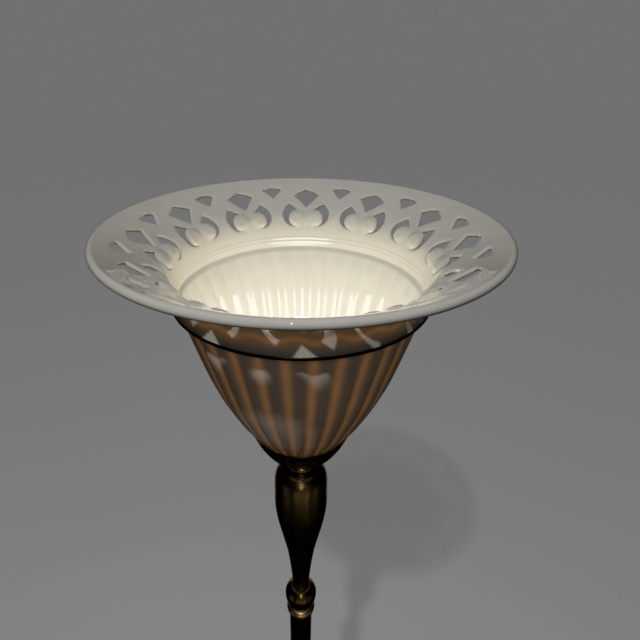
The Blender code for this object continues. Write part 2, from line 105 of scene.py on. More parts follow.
# The floor: flat to its edge, then a quarter circle up to a wall, and a dome over all.
FLOOR_EDGE = 12.0
FLOOR_CURVE = 9.0
DOME = ((21.0, 30.0), (17.0, 39.0), (9.0, 44.0), (0.0, 46.0))

# The shade, as in the CAD: (radius, height below the rim) on its profiles.
UNITS = 12
HALF_UNIT = 180.0 / UNITS
FLARE_WALL = 4.2
BOWL_WALL = 4.6
LIP_RADIUS = 174.1
LIP_TUBE = 3.7
THROAT = (114.5, -61.0)
FLARE = (
    THROAT,
    (114.8, -53.2),
    (116.2, -43.3),
    (120.5, -33.8),
    (128.5, -26.2),
    (138.0, -20.2),
    (148.0, -14.3),
    (156.0, -9.4),
    (163.0, -5.4),
    (169.5, -2.0),
)
BOWL = (
    (113.1, -68.2),
    (108.8, -88.0),
    (103.0, -109.8),
    (89.5, -154.8),
    (69.0, -200.0),
    (55.6, -222.4),
    (39.9, -245.5),
    (21.0, -263.4),
)
BOWL_FOOT = -264.5
ROD_HOLE = 5.7

# The openings of half a motif, laid out flat: (sideways from its middle, up from the throat).
LOBE_CENTRE = (10.0, 31.2)
LOBE_RADII = (9.3, 10.7)
CRESCENT_PEAK = (20.1, 51.6)
CRESCENT_OUTER = ((18.2, 22.2), (23.6, 27.6), (26.1, 36.5), (24.6, 44.5))
DIAMOND_CORNER = (14.3, 64.2)
DIAMOND_TOP = ((7.8, 68.9), (0.0, 72.6))
DIAMOND_FOOT = 45.5
FAN_CORNER = (11.5, 73.3)
FAN_TOP = 76.5
FAN_FOOT = 60.5

# The fine shade's mesh: its columns, its grid, and the rings of points next to an opening.
COLUMNS = 384
GRID = 2.4
DEGREE_WIDTH = 2.4
EDGE_RINGS = (0.12, 0.45, 1.0, 1.7, 2.6)

# The rounded edges of the openings, on the inner and the outer face.
EDGE_WIDE = 2.5
EDGE_DEEP = 1.4
EDGE_WIDE_OUT = 4.2
EDGE_DEEP_OUT = 2.0

# The raised lobes: a dome with a dimple, each with its centre, size and height.
LOBE_DOME = ((10.2, 30.8), 10.2, 2.4)
LOBE_DIMPLE = ((10.6, 29.6), 2.4, 1.0)
LOBE_SHOWS_OUTSIDE = 0.6

# The flutes. Each pair of heights is where a change starts and ends.
FLUTES = 32
FLUTE_PHASE = 4.0
FLUTE_DEEP_OUT = 1.8
FLUTE_DEEP_IN = 2.6
RIB_PROUD_IN = 1.1
FLUTES_OUT_TOP = (-70.0, -84.0)
FLUTES_OUT_FOOT = (-262.0, -240.0)
FLUTES_IN_TOP = (-67.0, -82.0)
FLUTES_IN_FOOT = (-250.0, -225.0)
# Where the painted glow in the flutes starts and ends. The glow stands in for the bulb's light through the
# thin wall.
LIGHT_TOP = (-67.5, -73.0)
LIGHT_FOOT = (-262.0, -225.0)

# The plain belt above the throat, its two beads, and the thin wall at the neck.
BELT = 12.0
BEAD_FEET = (1.4, 5.6)
BEAD_HIGH = 3.4
BEAD_PEAK = 2.5
BEAD_PROUD = 0.36
WALL_AT_NECK = 2.3
WALL_THINS = (-84.0, -66.0)
NECK = ((118.7, -61.6), (118.8, -65.5), (118.2, -65.9), (115.4, -66.9))
THROAT_EDGE = ((112.9, -65.9), (114.2, -64.7), (114.9, -63.9), (115.1, -63.1), (114.9, -62.2))

# Painted light on the belt: a wavy line of glow and the haze round it, standing in for the bulb's light
# through the thin wall.
WAVE_MIDDLE = -48.5
WAVE_SWING = 2.0
WAVE_WIDE = 2.6
WAVE_LIGHT = 0.55
HAZE_LIGHT = 0.42
HAZE_TOP = (-33.0, -43.0)
HAZE_FOOT = (-61.0, -52.0)


def smooth_line(points, per_span):
    """Points on a Catmull-Rom curve through the given ones."""
    line = []
    for index in range(len(points) - 1):
        start = Vector(points[index])
        end = Vector(points[index + 1])
        before = Vector(points[max(index - 1, 0)])
        after = Vector(points[min(index + 2, len(points) - 1)])
        leave = start + (end - before) / 6.0
        arrive = end - (after - start) / 6.0
        line += interpolate_bezier(start, leave, arrive, end, per_span + 1)[:-1]
    line.append(Vector(points[-1]))
    return line


def offset_inward(outline, wall):
    moved = []
    for index, (radius, height) in enumerate(outline):
        before = outline[max(index - 1, 0)]
        after = outline[min(index + 1, len(outline) - 1)]
        run = Vector((after[0] - before[0], after[1] - before[1])).normalized()
        moved.append((radius + run.y * wall, height - run.x * wall))
    return moved


def ramp_between(value, start, end):
    """0 at start, 1 at end, and smooth between them."""
    share = min(max((value - start) / (end - start), 0.0), 1.0)
    return share * share * (3.0 - 2.0 * share)


# Pieces that replace CAD nodes.


def finish_mesh(name, bm, material, body, slot, nodes, sharp=35.0):
    bmesh.ops.recalc_face_normals(bm, faces=bm.faces)
    mesh = bpy.data.meshes.new(name)
    bm.to_mesh(mesh)
    bm.free()
    mesh.shade_smooth()
    if sharp:
        mesh.set_sharp_from_angle(angle=math.radians(sharp))
    mesh.materials.append(material)
    piece = bpy.data.objects.new(name, mesh)
    bpy.context.scene.collection.objects.link(piece)
    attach(piece, body)
    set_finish(piece, slot)
    if nodes:
        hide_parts(*nodes)
    return piece


def turned_outline(node, origin, along):
    """A turned CAD node's outlines: chains of (radius, height) in the half plane of +X and its axis."""
    obj = frame["nodes"][node]
    across = along.cross(Vector((1.0, 0.0, 0.0)))
    flat = {}
    where = {}
    for vert in obj.data.vertices:
        rel = vert.co - origin
        if abs(rel.dot(across)) < 2e-5 and rel.x > -2e-5:
            key = (round(rel.x * 1e5), round(rel.dot(along) * 1e5))
            flat[vert.index] = key
            where[key] = (max(rel.x, 0.0), rel.dot(along))
    links = {}
    for edge in obj.data.edges:
        first, second = edge.vertices
        if first in flat and second in flat and flat[first] != flat[second]:
            a, b = flat[first], flat[second]
            if a[0] <= 2 and b[0] <= 2:
                continue
            links.setdefault(a, set()).add(b)
            links.setdefault(b, set()).add(a)
    chains = []
    while links:
        ends = [key for key, near in links.items() if len(near) == 1]
        start = ends[0] if ends else next(iter(links))
        chain = [start]
        while True:
            near = links.get(chain[-1], set())
            if not near:
                break
            step = min(near)
            near.discard(step)
            links[step].discard(chain[-1])
            chain.append(step)
        for key in chain:
            if key in links and not links[key]:
                del links[key]
        chains.append([where[key] for key in chain])
    return chains


def refined_chain(chain, bevel):
    """The chain with its gentle bends drawn as curves and its sharp corners broken by a small bevel."""
    closed = (Vector(chain[0]) - Vector(chain[-1])).length < 1e-6
    points = [Vector(p) for p in (chain[:-1] if closed else chain)]
    count = len(points)

    def bend(index):
        if not closed and index in (0, count - 1):
            return 0.0 if points[index].x < 1e-5 else 180.0
        before = points[index] - points[index - 1]
        after = points[(index + 1) % count] - points[index]
        return math.degrees(before.angle(after, 0.0))

    bends = [bend(index) for index in range(count)]
    if closed:
        first = max(range(count), key=lambda index: bends[index])
        points = points[first:] + points[:first]
        bends = bends[first:] + bends[:first]
        points.append(points[0].copy())
        bends.append(bends[0])
    line = []
    start = 0
    for index in range(1, len(points)):
        if index == len(points) - 1 or bends[index] > 32.0:
            run = points[start : index + 1]
            if len(run) > 2:
                run = smooth_line(run, 5)
            line.append(run)
            start = index
    outline = []
    for number, run in enumerate(line):
        run = [p.copy() for p in run]
        total = (run[1] - run[0]).length
        last = (run[-1] - run[-2]).length
        starts_sharp = number > 0 or closed
        ends_sharp = number < len(line) - 1 or closed
        if starts_sharp and run[0].x > 1e-5:
            run[0] = run[0].lerp(run[1], min(bevel / total, 0.3))
        if ends_sharp and run[-1].x > 1e-5:
            run[-1] = run[-1].lerp(run[-2], min(bevel / last, 0.3))
        outline += run
    return outline, closed


def spin_outline(bm, outline, closed, steps, origin, along, ripple=None):
    """Adds a turned surface. ripple changes a radius by its angle and height."""
    side = Vector((1.0, 0.0, 0.0))
    other = along.cross(side)
    rings = []
    for radius, height in outline:
        if radius < 1e-5:
            rings.append([bm.verts.new(origin + along * height)])
            continue
        ring = []
        for step in range(steps):
            angle = math.tau * step / steps
            reach = ripple(angle, radius, height) if ripple else radius
            place = side * math.cos(angle) + other * math.sin(angle)
            ring.append(bm.verts.new(origin + along * height + place * reach))
        rings.append(ring)
    pairs = list(zip(rings, rings[1:]))
    if closed:
        pairs.append((rings[-1], rings[0]))
    for upper, lower in pairs:
        if len(upper) == 1 and len(lower) == 1:
            continue
        for step in range(steps):
            after = (step + 1) % steps
            if len(upper) == 1:
                bm.faces.new((upper[0], lower[after], lower[step]))
            elif len(lower) == 1:
                bm.faces.new((upper[step], upper[after], lower[0]))
            else:
                bm.faces.new((upper[step], upper[after], lower[after], lower[step]))


UP = Vector((0.0, 0.0, 1.0))
AXIS = Vector((0.0, 0.0, 0.0))


def refined(node, material, steps=96, bevel=0.00025, body="lamp", origin=AXIS, along=UP, ripple=None):
    """A finer copy of a turned CAD node, which it replaces."""
    slot = frame["nodes"][node].get("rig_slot") or SLOT_OF[node]
    bm = bmesh.new()
    for chain in turned_outline(node, origin, along):
        outline, closed = refined_chain(chain, bevel)
        spin_outline(bm, outline, closed, steps, origin, along, ripple)
    bmesh.ops.remove_doubles(bm, verts=bm.verts, dist=1e-7)
    return finish_mesh("fine_" + node, bm, material, body, slot, [node])


# The shade.


class Flare:
    """The flare's curved face, laid out flat: degrees round the axis, and distance up its face."""

    def __init__(self):
        self.line = smooth_line(FLARE, 8)
        self.along = [0.0]
        for before, after in zip(self.line, self.line[1:]):
            self.along.append(self.along[-1] + (after - before).length)
        self.length = self.along[-1]

    def section(self, distance):
        index = 1
        while index < len(self.along) - 1 and self.along[index] < distance:
            index += 1
        start, end = self.line[index - 1], self.line[index]
        share = (distance - self.along[index - 1]) / (self.along[index] - self.along[index - 1])
        tangent = self.tangent(index - 1).lerp(self.tangent(index), share).normalized()
        return start.lerp(end, share), tangent

    def tangent(self, index):
        before = self.line[max(index - 1, 0)]
        after = self.line[min(index + 1, len(self.line) - 1)]
        return (after - before).normalized()

    def place(self, degrees, distance, depth):
        point, tangent = self.section(distance)
        radius = point.x + tangent.y * depth
        height = point.y - tangent.x * depth
        angle = math.radians(degrees)
        return Vector((radius * math.sin(angle), radius * math.cos(angle), height))

    def degrees(self, sideways, distance):
        return math.degrees(sideways / self.section(distance)[0].x)


def spaced(line, step):
    """The polyline's points moved to even steps along it, with both ends kept."""
    lengths = [0.0]
    for before, after in zip(line, line[1:]):
        lengths.append(lengths[-1] + (Vector(after) - Vector(before)).length)
    count = max(1, round(lengths[-1] / step))
    made = []
    index = 1
    for number in range(count + 1):
        want = lengths[-1] * number / count
        while index < len(lengths) - 1 and lengths[index] < want:
            index += 1
        share = (want - lengths[index - 1]) / (lengths[index] - lengths[index - 1])
        made.append(Vector(line[index - 1]).lerp(Vector(line[index]), share))
    return made


def crescent_outline():
    arc = []
    for step in range(41):
        angle = math.radians(92.0 - step * 170.0 / 40.0)
        across = LOBE_CENTRE[0] + LOBE_RADII[0] * math.cos(angle)
        arc.append((across, LOBE_CENTRE[1] + LOBE_RADII[1] * math.sin(angle)))
    outer = smooth_line([arc[-1], *CRESCENT_OUTER, CRESCENT_PEAK], 8)
    straight = [outer[-1], Vector(arc[0])]
    return spaced(arc, 1.1)[:-1] + spaced(outer, 1.3)[:-1] + spaced(straight, 1.3)[:-1]


def half_arch(through, top):
    """A smooth line over the motif's middle line, from the first point to the top."""
    mirrored = [(-x, y) for x, y in through][::-1]
    whole = smooth_line([*through, top, *mirrored], 10)
    return whole[: len(through) * 10] + [Vector(top)]


def diamond_outline():
    low = spaced([(0.0, DIAMOND_FOOT), DIAMOND_CORNER], 1.3)
    high = smooth_line([DIAMOND_CORNER, DIAMOND_TOP[0], (1.1, DIAMOND_TOP[1][1] - 0.35)], 6)
    return low[:-1] + spaced(high, 1.2)[:-1] + [high[-1], Vector(DIAMOND_TOP[1])]


def fan_outline():
    foot = Vector((0.0, FAN_FOOT))
    corner = Vector(FAN_CORNER)
    start = corner.lerp(foot, 0.22)
    turned = (corner.x - 2.9, corner.y + 1.4)
    bend = interpolate_bezier(start, start.lerp(corner, 0.8), Vector(turned).lerp(corner, 0.7), turned, 7)
    high = half_arch([turned], (0.0, FAN_TOP))
    return spaced([foot, start], 1.3)[:-1] + bend[:-1] + spaced(high, 1.2)


def in_polygon(point, outline):
    x, y = point
    crossings = 0
    for (x0, y0), (x1, y1) in zip(outline, outline[1:] + outline[:1]):
        if (y0 > y) != (y1 > y) and x < x0 + (y - y0) * (x1 - x0) / (y1 - y0):
            crossings += 1
    return crossings % 2 == 1


def graded(start, end, hole_at_start, hole_at_end):
    """Distances along a border, closer together next to an opening."""
    made = {start, end}
    for offset in EDGE_RINGS:
        if hole_at_start and start + offset < end:
            made.add(start + offset)
        if hole_at_end and end - offset > start:
            made.add(end - offset)
    low = max(made & {start, start + EDGE_RINGS[-1]})
    high = min(made & {end, end - EDGE_RINGS[-1]})
    count = max(1, round((high - low) / GRID))
    made |= {low + (high - low) * number / count for number in range(1, count)}
    return sorted(made)


def fine_half_motif(flare):
    """Triangles of half a motif, 0 to 15 degrees, fine next to its openings, and the openings' edges."""
    as_degrees = [(flare.degrees(x, y), y) for x, y in crescent_outline()]
    diamond = [(flare.degrees(x, y), y) for x, y in diamond_outline()]
    fan = [(HALF_UNIT - flare.degrees(x, y), y) for x, y in fan_outline()]
    ends = [HALF_UNIT * 2 * UNITS / COLUMNS * step for step in range(COLUMNS // (2 * UNITS) + 1)]
    border = [(angle, BELT) for angle in ends]
    border += [(HALF_UNIT, up) for up in graded(BELT, FAN_FOOT, False, True)[1:-1]]
    border += fan
    border += [(HALF_UNIT, up) for up in graded(FAN_TOP, flare.length, True, False)[1:-1]]
    border += [(angle, flare.length) for angle in ends[::-1]]
    border += [(0.0, up) for up in graded(DIAMOND_TOP[1][1], flare.length, True, False)[-2:0:-1]]
    border += diamond[::-1]
    border += [(0.0, up) for up in graded(BELT, DIAMOND_FOOT, False, True)[-2:0:-1]]

    def flat(point):
        return Vector((point[0] * DEGREE_WIDTH, point[1]))

    def real(point):
        return flare.place(point[0], point[1], 0.0)

    samples = []
    for outline in (as_degrees + as_degrees[:1], diamond, fan):
        for first, second in zip(outline, outline[1:]):
            for share in (0.0, 0.25, 0.5, 0.75):
                samples.append(real(Vector(first).lerp(Vector(second), share)))
        samples.append(real(outline[-1]))
    tree = kdtree.KDTree(len(samples))
    for index, place in enumerate(samples):
        tree.insert(place, index)
    tree.balance()

    flat_border = [tuple(flat(p)) for p in border]
    flat_hole = [tuple(flat(p)) for p in as_degrees]

    def allowed(point):
        if in_polygon(point, flat_hole) or not in_polygon(point, flat_border):
            return False
        return 0.6 < point[0] < HALF_UNIT * DEGREE_WIDTH - 0.6 and BELT + 0.6 < point[1] < flare.length - 0.6

    inner = []
    for outline, closed in ((as_degrees, True), (diamond, False), (fan, False)):
        for index, corner in enumerate(outline):
            if not closed and index in (0, len(outline) - 1):
                continue
            before = flat(outline[index - 1])
            after = flat(outline[(index + 1) % len(outline)])
            run = (after - before).normalized()
            scale = math.radians(flare.section(corner[1])[0].x) / DEGREE_WIDTH
            for side in (1.0, -1.0):
                normal = Vector((-run.y, run.x)) * side
                for ring, offset in enumerate(EDGE_RINGS):
                    if ring > 2 and index % 2:
                        continue
                    spot = flat(corner) + Vector((normal.x / scale, normal.y)) * offset
                    if not allowed(spot):
                        continue
                    gap = tree.find(real((spot.x / DEGREE_WIDTH, spot.y)))[2]
                    if gap > 0.85 * offset:
                        inner.append(tuple(spot))
    rows = int((flare.length - BELT) / (GRID * 0.866))
    for row in range(1, rows):
        up = BELT + (flare.length - BELT) * row / rows
        columns = int(HALF_UNIT * DEGREE_WIDTH / GRID)
        for column in range(columns + 1):
            spot = Vector(((column + 0.5 * (row % 2)) * GRID, up))
            if allowed(spot) and tree.find(real((spot.x / DEGREE_WIDTH, spot.y)))[2] > 1.25 * EDGE_RINGS[-1]:
                inner.append(tuple(spot))
    spots = [Vector(p) for p in flat_border + flat_hole + inner]
    loops = []
    for start, count in ((0, len(flat_border)), (len(flat_border), len(flat_hole))):
        loops += [(start + i, start + (i + 1) % count) for i in range(count)]
    made, _, faces, _, _, _ = delaunay_2d_cdt(spots, loops, [], 0, 1e-5)
    kept = []
    for face in faces:
        middle = sum((made[i] for i in face), Vector((0.0, 0.0))) / len(face)
        if in_polygon(middle, flat_border) and not in_polygon(middle, flat_hole):
            kept.append(face)
    placed = [(spot.x / DEGREE_WIDTH, spot.y) for spot in made]
    gaps = [tree.find(real(p))[2] for p in placed]
    return placed, gaps, kept


def edge_round(gap, wide, deep):
    """How far a face falls back this near to an opening."""
    if gap >= wide:
        return 0.0
    share = 1.0 - gap / wide
    return deep * (1.0 - math.sqrt(max(1.0 - share * share, 0.0)))


def ornament(sideways, up):
    """How far the moulded ornament stands proud of the flare."""
    (across, middle), radius, proud = LOBE_DOME
    reach = math.hypot(sideways - across, up - middle) / radius
    dome = proud * max(0.0, 1.0 - reach * reach) ** 0.8
    (across, middle), radius, deep = LOBE_DIMPLE
    dimple = deep * math.exp(-((math.hypot(sideways - across, up - middle) / radius) ** 2))
    return dome - dimple


def add_fine_flare(bm, flare, glow):
    placed, gaps, faces = fine_half_motif(flare)
    sides = {}
    for face in faces:
        for first, second in zip(face, face[1:] + face[:1]):
            sides.setdefault(frozenset((first, second)), []).append((first, second))
    borders = [pair[0] for pair in sides.values() if len(pair) == 1]
    layers_at = []
    for (degrees, up), gap in zip(placed, gaps):
        sideways = math.radians(degrees) * flare.section(up)[0].x
        fall = edge_round(gap, EDGE_WIDE, EDGE_DEEP)
        fall_out = edge_round(gap, EDGE_WIDE_OUT, EDGE_DEEP_OUT)
        proud = ornament(sideways, up)
        outside = FLARE_WALL - fall_out + LOBE_SHOWS_OUTSIDE * max(proud, 0.0)
        layers_at.append((fall - proud, outside))
    for motif in range(UNITS):
        for mirror in (1.0, -1.0):
            layers = []
            for layer in (0, 1):
                verts = []
                for (degrees, up), depths in zip(placed, layers_at):
                    angle = motif * 2.0 * HALF_UNIT + mirror * degrees
                    vert = bm.verts.new(flare.place(angle, up, depths[layer]))
                    if layer == 1:
                        vert[glow] = band_glow(angle, vert.co.z)
                    verts.append(vert)
                layers.append(verts)
            for face in faces:
                for verts in layers:
                    bm.faces.new([verts[i] for i in face])
            for first, second in borders:
                if not on_border(placed[first], placed[second], flare.length):
                    inner, outer = layers
                    bm.faces.new((inner[first], inner[second], outer[second], outer[first]))


def on_border(first, second, length):
    """Whether an edge lies on one of the half motif's four outer sides."""
    for axis, low, high in ((0, 0.0, HALF_UNIT), (1, BELT, length)):
        place = first[axis]
        if abs(place - second[axis]) < 1e-4 and min(abs(place - low), abs(place - high)) < 1e-4:
            return True
    return False


def band_glow(angle, height):
    """The painted wavy line of light: a glow standing in for the bulb's light that shows through the thin
    wall above the neck band.
    """
    wave = math.cos(math.radians(angle) * 2.0 * UNITS)
    middle = WAVE_MIDDLE + WAVE_SWING * wave
    line = WAVE_LIGHT * math.exp(-(((height - middle) / WAVE_WIDE) ** 2))
    haze = HAZE_LIGHT * ramp_between(height, *HAZE_TOP) * ramp_between(height, *HAZE_FOOT)
    return line + haze


def flute(angle, sharpness):
    """1 in the middle of a flute, 0 on the rib between two."""
    turn = math.radians(angle - FLUTE_PHASE) * FLUTES
    return (0.5 + 0.5 * math.cos(turn)) ** sharpness


def bead(up):
    """How far the two fine beads above the throat stand proud: each leans inward as it rises."""
    for foot in BEAD_FEET:
        if foot < up < foot + BEAD_HIGH:
            rise = (up - foot) / BEAD_PEAK
            fall = (foot + BEAD_HIGH - up) / (BEAD_HIGH - BEAD_PEAK)
            return BEAD_PROUD * min(rise, fall)
    return 0.0


def add_fine_bowl(bm, flare, glow):
    """The lip, and the bowl with its plain belt, neck, flutes and foot, as rings of 384 columns."""
    inner = flare.place(0.0, flare.length, 0.0)
    outer = flare.place(0.0, flare.length, FLARE_WALL)
    lip = [(inner.y, inner.z)]
    for step in range(23):
        angle = math.radians(118.0 - step * 214.0 / 22.0)
        lip.append((LIP_RADIUS + LIP_TUBE * math.cos(angle), LIP_TUBE * (math.sin(angle) - 1.0)))
    lip.append((outer.y, outer.z))
    add_rings(bm, [(r, z, 0.0, 0.0, 0.0) for r, z in lip], glow)

    belt = [BELT * step / 24.0 for step in range(25)]
    outside = [flare.place(0.0, up, FLARE_WALL) for up in belt[::-3]]
    add_rings(bm, [(point.y, point.z, 0.0, 0.0, None) for point in outside], glow)
    foot = outside[-1]
    rows = [(r, z, 0.0, 0.0, 0.0) for r, z in ((foot.y, foot.z), *NECK)]
    for point in smooth_line(BOWL, 5):
        deep = ramp_between(point.y, *FLUTES_OUT_TOP) * ramp_between(point.y, *FLUTES_OUT_FOOT)
        light = ramp_between(point.y, *LIGHT_TOP) * ramp_between(point.y, *LIGHT_FOOT)
        rows.append((point.x, point.y, 0.0, -FLUTE_DEEP_OUT * deep, light))
    rows += [(ROD_HOLE, BOWL_FOOT + rise, 0.0, 0.0, 0.0) for rise in (0.0, BOWL_WALL)]
    for point in smooth_line(offset_inward(BOWL, BOWL_WALL), 6)[::-1]:
        deep = ramp_between(point.y, *FLUTES_IN_TOP) * ramp_between(point.y, *FLUTES_IN_FOOT)
        thinner = (BOWL_WALL - WALL_AT_NECK) * ramp_between(point.y, *WALL_THINS)
        rows.append((point.x + thinner, point.y, -RIB_PROUD_IN * deep, FLUTE_DEEP_IN * deep, 0.0))
    rows += [(r, z, 0.0, 0.0, 0.0) for r, z in THROAT_EDGE]
    inside = [flare.place(0.0, up, -bead(up) if up < BELT else 0.0) for up in belt]
    rows += [(point.y, point.z, 0.0, 0.0, 0.0) for point in inside]
    add_rings(bm, rows, glow)


def add_rings(bm, rows, glow):
    """Rings of (radius, height, shift, flute depth, painted glow of light through the flutes or None on the
    belt).
    """
    rings = []
    for radius, height, shift, deep, light in rows:
        ring = []
        for step in range(COLUMNS):
            degrees = 360.0 * step / COLUMNS
            angle = math.radians(degrees)
            reach = radius + shift + (deep * flute(degrees, 1.1) if deep else 0.0)
            vert = bm.verts.new((reach * math.sin(angle), reach * math.cos(angle), height))
            if light is None:
                vert[glow] = band_glow(degrees, height)
            elif light:
                vert[glow] = light * (0.14 + 0.86 * flute(degrees, 2.2))
            ring.append(vert)
        rings.append(ring)
    for upper, lower in zip(rings, rings[1:]):
        for step in range(COLUMNS):
            after = (step + 1) % COLUMNS
            bm.faces.new((upper[step], upper[after], lower[after], lower[step]))


def make_shade(material):
    flare = Flare()
    bm = bmesh.new()
    glow = bm.verts.layers.float.new("glow")
    add_fine_flare(bm, flare, glow)
    add_fine_bowl(bm, flare, glow)
    bmesh.ops.remove_doubles(bm, verts=bm.verts, dist=2e-3)
    for vert in bm.verts:
        vert.co *= MM
        vert.co.z += RIM
    finish_mesh("fine_porcelain_shade", bm, material, "lamp", "porcelain", ["porcelain_shade"], 55.0)


# Materials.


class Paint:
    """A node material, with short ways to add to it."""

    def __init__(self, name):
        self.material = bpy.data.materials.new(name)
        self.material.use_nodes = True
        self.tree = self.material.node_tree
        self.shader = self.tree.nodes["Principled BSDF"]
        self.place = self.tree.nodes.new("ShaderNodeTexCoord").outputs["Object"]

    def set(self, **values):
        for name, value in values.items():
            self.shader.inputs[name.replace("_", " ")].default_value = value
        return self

    def stretched(self, scale):
        mapping = self.tree.nodes.new("ShaderNodeMapping")
        mapping.inputs["Scale"].default_value = scale
        self.tree.links.new(self.place, mapping.inputs["Vector"])
        return mapping.outputs["Vector"]

    def noise(self, scale, detail=4.0, vector=None, roughness=0.55):
        node = self.tree.nodes.new("ShaderNodeTexNoise")
        node.inputs["Scale"].default_value = scale
        node.inputs["Detail"].default_value = detail
        node.inputs["Roughness"].default_value = roughness
        self.tree.links.new(vector or self.place, node.inputs["Vector"])
        return node.outputs["Fac"]

    def ramp(self, value, stops):
        node = self.tree.nodes.new("ShaderNodeValToRGB")
        band = node.color_ramp
        while len(band.elements) < len(stops):
            band.elements.new(0.5)
        for element, (place, color) in zip(band.elements, stops):
            element.position = place
            element.color = (*color, 1.0) if len(color) == 3 else color
        self.tree.links.new(value, node.inputs["Fac"])
        return node.outputs["Color"]

    def range(self, value, low, high, start=0.3, end=0.7):
        node = self.tree.nodes.new("ShaderNodeMapRange")
        node.inputs["From Min"].default_value = start
        node.inputs["From Max"].default_value = end
        node.inputs["To Min"].default_value = low
        node.inputs["To Max"].default_value = high
        self.tree.links.new(value, node.inputs["Value"])
        return node.outputs["Result"]

    def maths(self, operation, first, second):
        node = self.tree.nodes.new("ShaderNodeMath")
        node.operation = operation
        for socket, value in zip(node.inputs, (first, second)):
            if isinstance(value, float):
                socket.default_value = value
            else:
                self.tree.links.new(value, socket)
        return node.outputs["Value"]

    def mix(self, factor, first, second, blend="MIX"):
        node = self.tree.nodes.new("ShaderNodeMix")
        node.data_type = "RGBA"
        node.blend_type = blend
        for name, value in (("Factor", factor), ("A", first), ("B", second)):
            socket = [s for s in node.inputs if s.name == name and (name == "Factor" or s.type == "RGBA")][0]
            if isinstance(value, (float, tuple)):
                socket.default_value = value
            else:
                self.tree.links.new(value, socket)
        return [s for s in node.outputs if s.type == "RGBA"][0]

    def bump(self, height, strength, distance):
        node = self.tree.nodes.new("ShaderNodeBump")
        node.inputs["Strength"].default_value = strength
        node.inputs["Distance"].default_value = distance
        self.tree.links.new(height, node.inputs["Height"])
        self.tree.links.new(node.outputs["Normal"], self.shader.inputs["Normal"])

    def link(self, value, name):
        self.tree.links.new(value, self.shader.inputs[name])

    def attribute(self, name):
        node = self.tree.nodes.new("ShaderNodeAttribute")
        node.attribute_name = name
        return node.outputs["Fac"]


def porcelain():
    paint = Paint("porcelain_glaze")
    cloud = paint.noise(28.0, 3.0)
    paint.link(paint.ramp(cloud, ((0.35, (0.79, 0.755, 0.665)), (0.65, (0.82, 0.79, 0.70)))), "Base Color")
    paint.link(paint.range(paint.noise(90.0, 3.0), 0.4, 0.55), "Roughness")
    paint.set(Specular_IOR_Level=0.15, Coat_Weight=1.0, Coat_Roughness=0.015, Coat_IOR=1.9)
    paint.bump(paint.noise(140.0, 2.0), 0.02, 0.0006)
    # The glow attribute paints the bulb's light through the thin porcelain, as an orange emission in the
    # flutes and on the belt.
    glow = paint.maths("MULTIPLY", paint.attribute("glow"), paint.range(paint.noise(45.0, 3.0), 0.82, 1.12))
    paint.link(paint.mix(glow, (0.0, 0.0, 0.0, 1.0), (0.125, 0.050, 0.009, 1.0)), "Emission Color")
    paint.set(Emission_Strength=1.0)
    return paint.material


def metal(name, light, dark, rough, brushed=0.02, coat=0.0, cloud=18.0):
    """Turned metal: a mottled colour, fine lathe lines round the piece, and uneven polish."""
    paint = Paint(name)
    patches = paint.noise(cloud, 5.0)
    fine = paint.noise(220.0, 3.0)
    color = paint.ramp(patches, ((0.36, dark), (0.64, light)))
    paint.link(paint.mix(paint.range(fine, 0.0, 0.18), color, (*dark, 1.0)), "Base Color")
    paint.link(paint.range(patches, rough[1], rough[0]), "Roughness")
    paint.set(Metallic=1.0)
    if coat:
        paint.set(Coat_Weight=coat, Coat_Roughness=0.08)
    lines = paint.noise(1.0, 2.0, paint.stretched((6.0, 6.0, 2600.0)))
    paint.bump(lines, brushed, 0.0003)
    return paint.material


def matte(name, light, dark, rough, grain, strength, cloud=40.0):
    paint = Paint(name)
    paint.link(paint.ramp(paint.noise(cloud, 5.0), ((0.35, dark), (0.65, light))), "Base Color")
    paint.link(paint.range(paint.noise(cloud * 2.0, 3.0), rough[0], rough[1]), "Roughness")
    paint.bump(paint.noise(grain, 4.0), strength, 0.0008)
    return paint.material


def bulb_glass():
    paint = Paint("lit_bulb_glass")
    frost = paint.noise(120.0, 3.0)
    paint.link(paint.ramp(frost, ((0.3, (0.93, 0.91, 0.87)), (0.7, (0.98, 0.97, 0.94)))), "Base Color")
    paint.link(paint.range(frost, 0.28, 0.42), "Roughness")
    paint.set(Emission_Color=(1.0, 0.89, 0.66, 1.0), Emission_Strength=BULB_LIGHT)
    return paint.material


def floor_paint():
    paint = Paint("pale_floor")
    cloud = paint.noise(1.2, 3.0)
    paint.link(paint.ramp(cloud, ((0.3, (0.60, 0.60, 0.615)), (0.7, (0.635, 0.635, 0.65)))), "Base Color")
    paint.set(Roughness=0.9, Emission_Color=(0.97, 0.98, 1.0, 1.0), Emission_Strength=FLOOR_LIGHT)
    return paint.material


